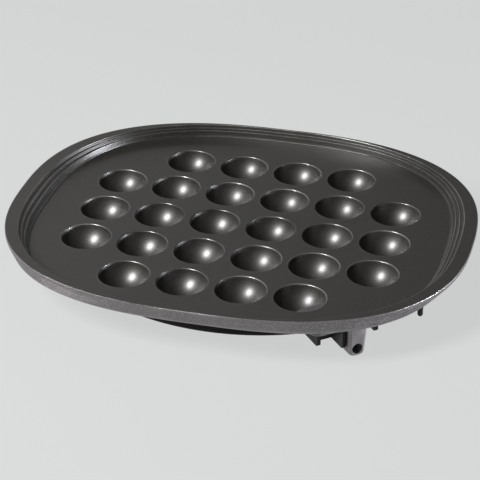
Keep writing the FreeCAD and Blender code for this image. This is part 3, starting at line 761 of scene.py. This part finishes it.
def socket_seat():
    """The raised pad under the slab that the socket and its guard are screwed to."""
    mesh = bpy.data.meshes.new("socket_seat")
    seat = bmesh.new()
    rings = [[seat.verts.new(point) for point in seat_ring(inset, z)] for inset, z in SEAT_LEVELS]
    for upper, lower in zip(rings, rings[1:]):
        for step in range(len(upper)):
            ahead = (step + 1) % len(upper)
            seat.faces.new((upper[step], upper[ahead], lower[ahead], lower[step]))
    seat.faces.new(rings[-1])
    seat.faces.new(rings[0][::-1])
    seat.to_mesh(mesh)
    seat.free()
    mesh.materials.append(outside_enamel)
    return baked(new_piece("socket_seat", mesh), "socket_seat")


def joined(name, parts):
    """Several pieces of one casting as one piece."""
    finishes = []
    whole = bmesh.new()
    for part in parts:
        start = len(whole.faces)
        whole.from_mesh(part.data)
        whole.faces.ensure_lookup_table()
        for face in whole.faces[start:]:
            finish = part.data.materials[face.material_index]
            if finish not in finishes:
                finishes.append(finish)
            face.material_index = finishes.index(finish)
    mesh = bpy.data.meshes.new(name)
    whole.to_mesh(mesh)
    whole.free()
    for finish in finishes:
        mesh.materials.append(finish)
    for part in parts:
        bpy.data.objects.remove(part)
    return new_piece(name, mesh)


plate = joined("cooking_plate_body", [plate_casting, posts, collars, socket_seat()])
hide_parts("cooking_plate")
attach(plate, "root")
for line in (inside_line, outside_line):
    bpy.data.objects.remove(line)

# Heat shield pan: a shallow oval of dark pressed sheet that throws the heat back up.
# Six pads are pressed up from its floor, and a screw through each holds it to a post.
pan_coat = grained_finish(
    "pan_coat",
    colour=(0.008, 0.0062, 0.006),
    fleck_colour=(0.04, 0.036, 0.032),
    roughness=0.55,
    grain_size=0.0007,
    bump=0.3,
    fleck_share=0.15,
    fleck_strength=0.3,
    cloud_size=0.06,
    shine=0.15,
)


def dress(node, material):
    """Gives a node of the frame its finish."""
    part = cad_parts[node]
    part.data.materials.clear()
    part.data.materials.append(material)
    for face in part.data.polygons:
        face.material_index = 0


FLAT_WITHIN = math.radians(0.5)
BEVELLED_FROM = math.radians(40)


def softened(node, width, finish, segments=2):
    """A node's own shape with its sharp edges broken."""
    mesh = bpy.data.meshes.new(node)
    work = bmesh.new()
    work.from_mesh(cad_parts[node].data)
    bmesh.ops.remove_doubles(work, verts=work.verts, dist=WELD / 5)
    bmesh.ops.dissolve_limit(work, angle_limit=FLAT_WITHIN, verts=work.verts, edges=work.edges)
    work.to_mesh(mesh)
    work.free()
    mesh.materials.clear()
    mesh.materials.append(finish)
    piece = new_piece(node + "_softened", mesh)
    bevel = piece.modifiers.new("broken_edges", "BEVEL")
    bevel.width = width
    bevel.segments = segments
    bevel.limit_method = "ANGLE"
    bevel.angle_limit = BEVELLED_FROM
    piece = baked(piece, node + "_softened")
    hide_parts(node)
    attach(piece, "root")


dress("heat_shield_pan", pan_coat)

# Screws: zinc plated pan heads with a cross recess. Six hold the pan to the posts, two the
# socket and two its guard to the seat; each head bears on the sheet or lug that it holds.
zinc_plate = grained_finish(
    "zinc_plate",
    colour=(0.60, 0.61, 0.63),
    fleck_colour=(0.75, 0.75, 0.72),
    roughness=0.34,
    grain_size=0.0004,
    bump=0.25,
    fleck_share=0.2,
    fleck_strength=0.3,
    cloud_size=0.004,
    metallic=1.0,
    flake_tilt=0.03,
)


# A pan head's outline, in shares of its radius and its height, from its top to the face it bears on.
PAN_HEAD = ((0, 1), (0.60, 1), (0.70, 0.97), (0.85, 0.78), (0.94, 0.64), (0.99, 0.50), (1, 0.1), (0.97, 0))
SCREW_TIP = 0.0003
RECESS_SHARES = (1.16, 0.24, 1.1)


def screws(node, shank, head, height, length, places):
    """A set of equal screws driven upward, drawn from the face that each head bears on."""
    profile = [(out * head, -up * height) for out, up in PAN_HEAD]
    profile += [(shank, 0), (shank, length - SCREW_TIP), (shank - SCREW_TIP, length), (0, length)]
    piece = turned_copies(
        node + "_turned",
        profile,
        places,
        zinc_plate,
        recessed=True,
        recess_height=-height,
        recess_size=(RECESS_SHARES[0] * head, RECESS_SHARES[1] * head, RECESS_SHARES[2] * height),
    )
    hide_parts(node)
    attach(piece, "root")


PAD_TOP_Z = 0.0028
TANG_U = 0.1434
TANG_V = 0.004
TANG_UNDERSIDE_Z = 0.023
EAR_U = 0.151
EAR_V = 0.032
EAR_UNDERSIDE_Z = 0.025
pan_holes = [(x, y, PAD_TOP_Z) for x, y in POST_PLACES]
tang_holes = [at_corner(TANG_U, v, TANG_UNDERSIDE_Z) for v in (-TANG_V, TANG_V)]
ear_holes = [at_corner(EAR_U, v, EAR_UNDERSIDE_Z) for v in (-EAR_V, EAR_V)]
screws("pan_screws", shank=0.0019, head=0.0034, height=0.0019, length=0.008, places=pan_holes)
screws("socket_screws", shank=0.0014, head=0.0027, height=0.0017, length=0.0085, places=tang_holes)
screws("guard_screws", shank=0.0014, head=0.0027, height=0.0017, length=0.007, places=ear_holes)

# Heating element: a sheathed tube bent to a flat ring, dulled by heat.
# It lies under the cups and its two ends come out towards the socket corner.
sheath = grained_finish(
    "sheath",
    colour=(0.20, 0.185, 0.165),
    fleck_colour=(0.33, 0.30, 0.25),
    roughness=0.45,
    grain_size=0.0006,
    bump=0.3,
    fleck_share=0.25,
    fleck_strength=0.4,
    cloud_size=0.02,
    metallic=0.9,
)
dress("heating_element", sheath)

# Element seals and pin bushes: pressed white ceramic, lightly glazed.
ceramic = grained_finish(
    "ceramic",
    colour=(0.72, 0.69, 0.62),
    fleck_colour=(0.55, 0.50, 0.42),
    roughness=0.38,
    grain_size=0.0005,
    bump=0.25,
    fleck_share=0.08,
    fleck_strength=0.5,
    cloud_size=0.006,
)
for node in ("element_seal_left", "element_seal_right", "pin_insulator_left", "pin_insulator_right"):
    dress(node, ceramic)

# Terminal pins and their straps: nickel plated, with a slightly yellow tone all over.
nickel = grained_finish(
    "nickel",
    colour=(0.62, 0.58, 0.50),
    fleck_colour=(0.72, 0.69, 0.62),
    roughness=0.26,
    grain_size=0.0004,
    bump=0.15,
    fleck_share=0.2,
    fleck_strength=0.25,
    cloud_size=0.005,
    metallic=1.0,
)
SHEET_EDGE = 0.00015
for side in ("left", "right"):
    softened("terminal_strap_" + side, SHEET_EDGE, nickel)
    dress("terminal_pin_" + side, nickel)

# Probe socket: a bare die cast block with the blind hole for the thermostat's rod.
bare_casting = grained_finish(
    "bare_casting",
    colour=(0.18, 0.168, 0.174),
    fleck_colour=(0.42, 0.40, 0.41),
    roughness=0.46,
    grain_size=0.0009,
    bump=0.5,
    fleck_share=0.25,
    fleck_strength=0.3,
    cloud_size=0.008,
    metallic=0.7,
    flake_tilt=0.1,
)
softened("probe_socket", width=0.0005, finish=bare_casting, segments=3)

# Terminal guard: a dark phenolic moulding whose fins stand round the two live pins.
phenolic = grained_finish(
    "phenolic",
    colour=(0.009, 0.0078, 0.008),
    fleck_colour=(0.05, 0.045, 0.045),
    roughness=0.42,
    grain_size=0.0006,
    bump=0.25,
    fleck_share=0.12,
    fleck_strength=0.35,
    cloud_size=0.012,
    shine=0.16,
)
softened("terminal_guard", width=0.00035, finish=phenolic)

# Locating pegs: four dark turned pegs that centre the plate on a stand.
peg_steel = grained_finish(
    "peg_steel",
    colour=(0.022, 0.020, 0.020),
    fleck_colour=(0.10, 0.095, 0.095),
    roughness=0.4,
    grain_size=0.0005,
    bump=0.25,
    fleck_share=0.2,
    fleck_strength=0.3,
    cloud_size=0.006,
    metallic=0.6,
    shine=0.25,
)
for number in range(1, 5):
    dress("locating_peg_%d" % number, peg_steel)

# Heater clips: bent stainless strips that hold the element above the pan.
stainless = grained_finish(
    "stainless",
    colour=(0.45, 0.44, 0.42),
    fleck_colour=(0.6, 0.58, 0.55),
    roughness=0.36,
    grain_size=0.0004,
    bump=0.2,
    fleck_share=0.2,
    fleck_strength=0.3,
    cloud_size=0.006,
    metallic=1.0,
)
for number in range(1, 7):
    softened("heater_clip_%d" % number, SHEET_EDGE, stainless)

# Studio: a pale floor that keeps a faint shadow, and an even pale background.
BACKDROP = (0.651, 0.665, 0.658)
FLOOR_LIT = (0.55, 0.56, 0.555)
FLOOR_EVENNESS = 0.9
FLOOR_REACH = 9
FLOOR_Z = -0.0002
floor_corners = [(x * FLOOR_REACH, y * FLOOR_REACH, FLOOR_Z) for x, y in ((-1, -1), (1, -1), (1, 1), (-1, 1))]
floor_mesh = bpy.data.meshes.new("floor")
floor_mesh.from_pydata(floor_corners, [], [(0, 1, 2, 3)])
floor = new_piece("floor", floor_mesh)
floor_finish = bpy.data.materials.new("floor_finish")
floor_finish.use_nodes = True
tree = floor_finish.node_tree
tree.nodes.clear()
rays = add_node(tree, "ShaderNodeLightPath").outputs
seen = math_node(tree, "MAXIMUM", rays["Is Camera Ray"], rays["Is Glossy Ray"])
seen = math_node(tree, "MAXIMUM", seen, rays["Is Transmission Ray"])
lit = add_node(tree, "ShaderNodeBsdfDiffuse", {"Color": (*FLOOR_LIT, 1)})
even = add_node(tree, "ShaderNodeEmission", {"Color": (*BACKDROP, 1), "Strength": 1.0})
share = math_node(tree, "MULTIPLY", seen, FLOOR_EVENNESS)
shown = add_node(tree, "ShaderNodeMixShader", {0: share, 1: lit.outputs[0], 2: even.outputs[0]})
under = add_node(tree, "ShaderNodeNewGeometry").outputs["Backfacing"]
clear = add_node(tree, "ShaderNodeBsdfTransparent")
sided = add_node(tree, "ShaderNodeMixShader", {0: under, 1: shown.outputs[0], 2: clear.outputs[0]})
add_node(tree, "ShaderNodeOutputMaterial", {"Surface": sided.outputs[0]})
floor.data.materials.append(floor_finish)

# The wall that the plate mirrors: a band between two heights, brighter to the left.
WALL_TOP = (0.48, 0.72)
ABOVE_WALL = 0.06
WALL_BOTTOM = (0.38, 0.50)
BELOW_WALL = 0.40
WALL_SIDES = (-0.32, 0.0)
WALL_LEFT = 1.14
WALL_RIGHT = 0.27
AMBIENT_SHARE = 0.26
world = bpy.data.worlds.new("studio")
bpy.context.scene.world = world
world.use_nodes = True
tree = world.node_tree
tree.nodes.clear()
rays = add_node(tree, "ShaderNodeLightPath").outputs
straight = math_node(tree, "MAXIMUM", rays["Is Camera Ray"], rays["Is Transmission Ray"])
heading = add_node(tree, "ShaderNodeTexCoord").outputs["Generated"]
heading = add_node(tree, "ShaderNodeSeparateXYZ", {0: heading}).outputs
high_fade = mapped(tree, heading["Z"], WALL_TOP, (1.0, ABOVE_WALL), "SMOOTHSTEP")
low_fade = mapped(tree, heading["Z"], WALL_BOTTOM, (BELOW_WALL, 1.0), "SMOOTHSTEP")
sideways = mapped(tree, heading["X"], WALL_SIDES, (WALL_LEFT, WALL_RIGHT))
wall = math_node(tree, "MULTIPLY", math_node(tree, "MULTIPLY", high_fade, low_fade), sideways)
even_wall = math_node(tree, "MAXIMUM", wall, straight)
mirrored = math_node(tree, "MAXIMUM", straight, rays["Is Glossy Ray"])
lit_share = mapped(tree, mirrored, (0.0, 1.0), (AMBIENT_SHARE, 1.0))
sky = add_node(tree, "ShaderNodeBackground", {
    "Color": (*BACKDROP, 1),
    "Strength": math_node(tree, "MULTIPLY", even_wall, lit_share),
})
add_node(tree, "ShaderNodeOutputWorld", {"Surface": sky.outputs[0]})


BOX_DISTANCE = 1.8


def soft_box(name, towards, width, height, power, colour=(1, 1, 1)):
    """A soft box that faces the plate from one direction."""
    lamp = bpy.data.lights.new(name, "AREA")
    lamp.shape = "RECTANGLE"
    lamp.size = width
    lamp.size_y = height
    lamp.energy = power
    lamp.color = colour
    holder = bpy.data.objects.new(name, lamp)
    bpy.context.scene.collection.objects.link(holder)
    direction = Vector(towards).normalized()
    holder.location = direction * BOX_DISTANCE + Vector((0, 0, SURFACE_Z))
    holder.rotation_euler = direction.to_track_quat("Z", "Y").to_euler()


# The key box makes the spot in each cup. The right box is low enough for the lips and the far
# rim alone to catch it, and the two lowest boxes reach only the outer wall.
soft_box("key_box", (-0.465, -0.544, 0.699), width=0.50, height=0.68, power=74)
soft_box("right_box", (0.975, 0.09, 0.060), width=0.8, height=0.09, power=36, colour=(0.90, 0.93, 1.0))
soft_box("low_right_box", (0.99, 0.06, 0.018), width=0.6, height=0.06, power=13)
soft_box("low_left_box", (-0.80, -0.60, 0.018), width=0.8, height=0.06, power=9)

CAMERA_YAW = math.radians(14.41)
CAMERA_RISE = math.radians(29.96)
CAMERA_AIM = Vector((0.0043, -0.0246, SURFACE_Z))
CAMERA_DISTANCE = 1.571
CAMERA_LENS_MM = 143.5
CAMERA_SENSOR_MM = 36
lens = bpy.data.cameras.new("photo_view")
lens.lens = CAMERA_LENS_MM
lens.sensor_width = CAMERA_SENSOR_MM
camera = bpy.data.objects.new("photo_view", lens)
bpy.context.scene.collection.objects.link(camera)
back = Vector((
    math.sin(CAMERA_YAW) * math.cos(CAMERA_RISE),
    -math.cos(CAMERA_YAW) * math.cos(CAMERA_RISE),
    math.sin(CAMERA_RISE),
))
right = Vector((math.cos(CAMERA_YAW), math.sin(CAMERA_YAW), 0))
facing = Matrix((right, back.cross(right), back)).transposed()
camera.matrix_world = Matrix.Translation(CAMERA_AIM + back * CAMERA_DISTANCE) @ facing.to_4x4()
bpy.context.scene.camera = camera
bpy.context.scene.view_settings.view_transform = "Standard"
